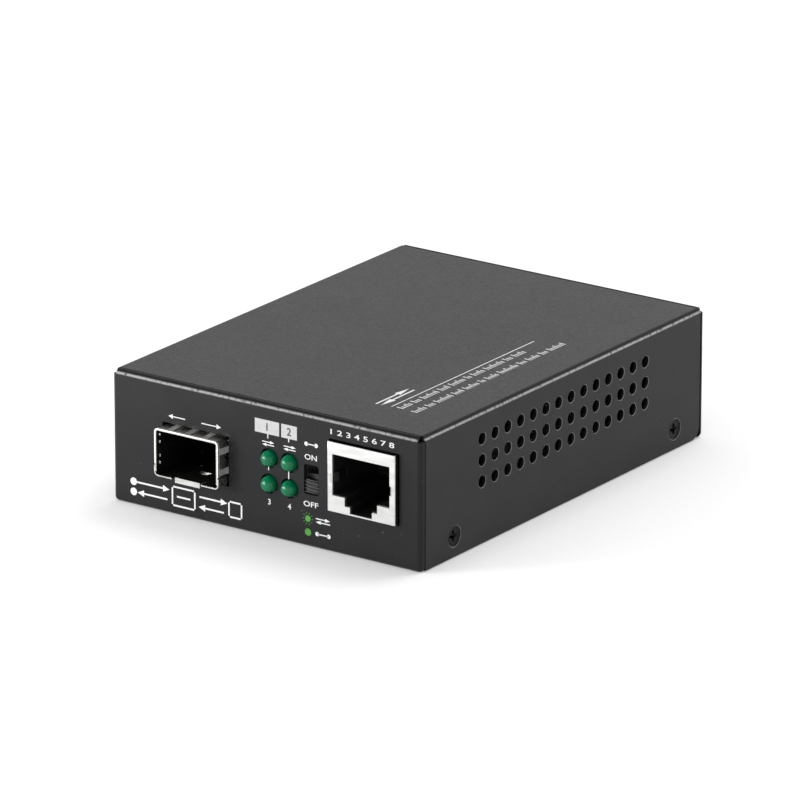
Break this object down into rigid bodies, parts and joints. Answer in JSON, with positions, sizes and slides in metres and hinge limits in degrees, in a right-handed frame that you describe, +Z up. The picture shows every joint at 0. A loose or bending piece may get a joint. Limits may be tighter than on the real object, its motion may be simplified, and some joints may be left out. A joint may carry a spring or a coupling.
{
  "type": "fibre media converter",
  "caption": "Small black folded-steel case with a fibre module port, a copper network port, round lamps and a slide switch on the front, vented sides and a power jack at the rear.",
  "frame": {"origin": "middle of the case's flat bottom", "axes": "+Z up, the front panel with the ports faces -Y, +X to the right seen from the front"},
  "size_m": [0.07, 0.097, 0.026],
  "materials": {
    "case_powder_coat": "fine textured matt powder coat",
    "black_steel": "black zinc plate",
    "zinc_steel": "bright zinc plate",
    "board_laminate": "green solder mask",
    "nickel_steel": "bright nickel plate",
    "spring_bronze": "plated spring bronze",
    "black_plastic": "moulded, satin",
    "gold_contacts": "gold plate",
    "tinned_steel": "bright tin plate",
    "tinned_wire": "tinned",
    "led_resin": "diffused epoxy",
    "switch_laminate": "phenolic laminate",
    "chip_epoxy": "moulded epoxy",
    "capacitor_can": "drawn can",
    "ferrite": "ferrite and epoxy",
    "chip_ceramic": "fired ceramic"
  },
  "bodies": {
    "case": {"base_tray": "case_powder_coat", "board_screws": "zinc_steel", "board_standoffs": "zinc_steel", "capacitor_bases": "black_plastic", "chip_capacitors": "chip_ceramic", "chip_leads": "tinned_wire", "chip_resistors": "chip_epoxy", "circuit_board": "board_laminate", "converter_chip": "chip_epoxy", "cover_screws": "black_steel", "crystal": "nickel_steel", "dc_jack_housing": "black_plastic", "dc_jack_pin": "nickel_steel", "dc_jack_spring": "spring_bronze", "filter_capacitors": "capacitor_can", "led_holder": "black_plastic", "led_leads": "tinned_wire", "led_lower_left": "led_resin", "led_lower_right": "led_resin", "led_upper_left": "led_resin", "led_upper_right": "led_resin", "line_transformer": "chip_epoxy", "memory_chip": "chip_epoxy", "power_chip": "chip_epoxy", "power_inductor": "ferrite", "protection_diode": "chip_epoxy", "rj45_contacts": "gold_contacts", "rj45_housing": "black_plastic", "rj45_shield": "tinned_steel", "sfp_cage_base": "nickel_steel", "sfp_cage_shell": "nickel_steel", "sfp_connector_contacts": "gold_contacts", "sfp_connector_housing": "black_plastic", "sfp_emi_fingers": "spring_bronze", "switch_base": "switch_laminate", "switch_case": "tinned_steel", "switch_terminals": "tinned_wire", "top_cover": "case_powder_coat", "transformer_leads": "tinned_wire"},
    "knob": {"switch_knob": "black_plastic"}
  },
  "joints": [
    {"name": "switch_slide", "type": "slide", "parent": "case", "child": "knob", "axis": [0, 0, 1], "range_m": [0, 0.00285]}
  ]
}
